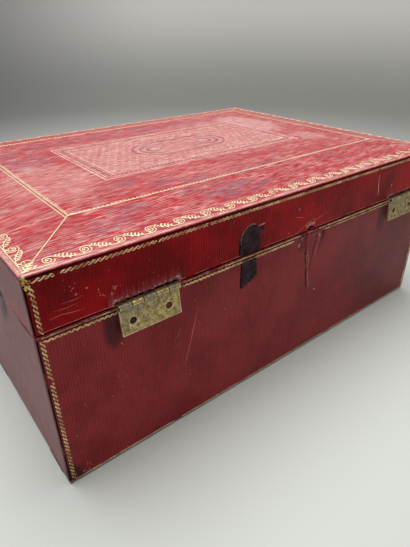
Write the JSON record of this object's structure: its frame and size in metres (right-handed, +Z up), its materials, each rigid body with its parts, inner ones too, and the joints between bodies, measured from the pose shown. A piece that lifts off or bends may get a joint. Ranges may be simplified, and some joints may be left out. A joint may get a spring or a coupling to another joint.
{
  "type": "leather document box",
  "caption": "Rectangular leather-covered wooden box with a hinged lid that has a raised panel, brass butt hinges at the back and a box lock with a sliding bolt at the front.",
  "frame": {"origin": "middle of the underside, on the surface the box stands on", "axes": "+Z up, +X along the long side, -Y towards the front with the lock, +Y towards the hinges"},
  "size_m": [0.32, 0.2392, 0.1325],
  "materials": {
    "red_leather": "aged straight-grained goatskin, waxed, with gilt tooling",
    "board": "planed softwood",
    "lining": "thin plain cloth, glued on",
    "bottom_cover": "thin plain cloth, glued on",
    "brass": "aged brass with patina",
    "iron": "dark, slightly rusted iron"
  },
  "bodies": {
    "base": {"base_floor_board": "board", "base_front_board": "board", "base_back_board": "board", "base_left_board": "board", "base_right_board": "board", "base_leather": "red_leather", "base_lining": "lining", "base_bottom_cover": "bottom_cover", "hinge_left_lower_leaf": "brass", "hinge_left_pin": "iron", "hinge_left_nail_1": "iron", "hinge_left_nail_2": "iron", "hinge_right_lower_leaf": "brass", "hinge_right_pin": "iron", "hinge_right_nail_1": "iron", "hinge_right_nail_2": "iron", "lock_plate": "brass", "lock_case": "brass", "lock_spring": "iron", "lock_drill_pin": "iron", "lock_screw_1": "iron", "lock_screw_2": "iron", "lock_screw_3": "iron", "lock_screw_4": "iron", "lock_escutcheon": "brass", "escutcheon_pin_1": "brass", "escutcheon_pin_2": "brass"},
    "lid": {"lid_top_board": "board", "lid_front_board": "board", "lid_back_board": "board", "lid_left_board": "board", "lid_right_board": "board", "lid_leather": "red_leather", "lid_lining": "lining", "hinge_left_upper_leaf": "brass", "hinge_left_screw_1": "iron", "hinge_left_screw_2": "iron", "hinge_right_upper_leaf": "brass", "hinge_right_screw_1": "iron", "hinge_right_screw_2": "iron", "lock_striker": "brass", "striker_screw_1": "iron", "striker_screw_2": "iron"},
    "bolt": {"lock_bolt": "brass"}
  },
  "joints": [
    {"name": "lid_hinge", "type": "hinge", "parent": "base", "child": "lid", "pos_m": [0, 0.1188, 0.097], "axis": [-1, 0, 0], "range_deg": [0, 180]},
    {"name": "bolt_slide", "type": "slide", "parent": "base", "child": "bolt", "axis": [1, 0, 0], "range_m": [0, 0.004]}
  ]
}
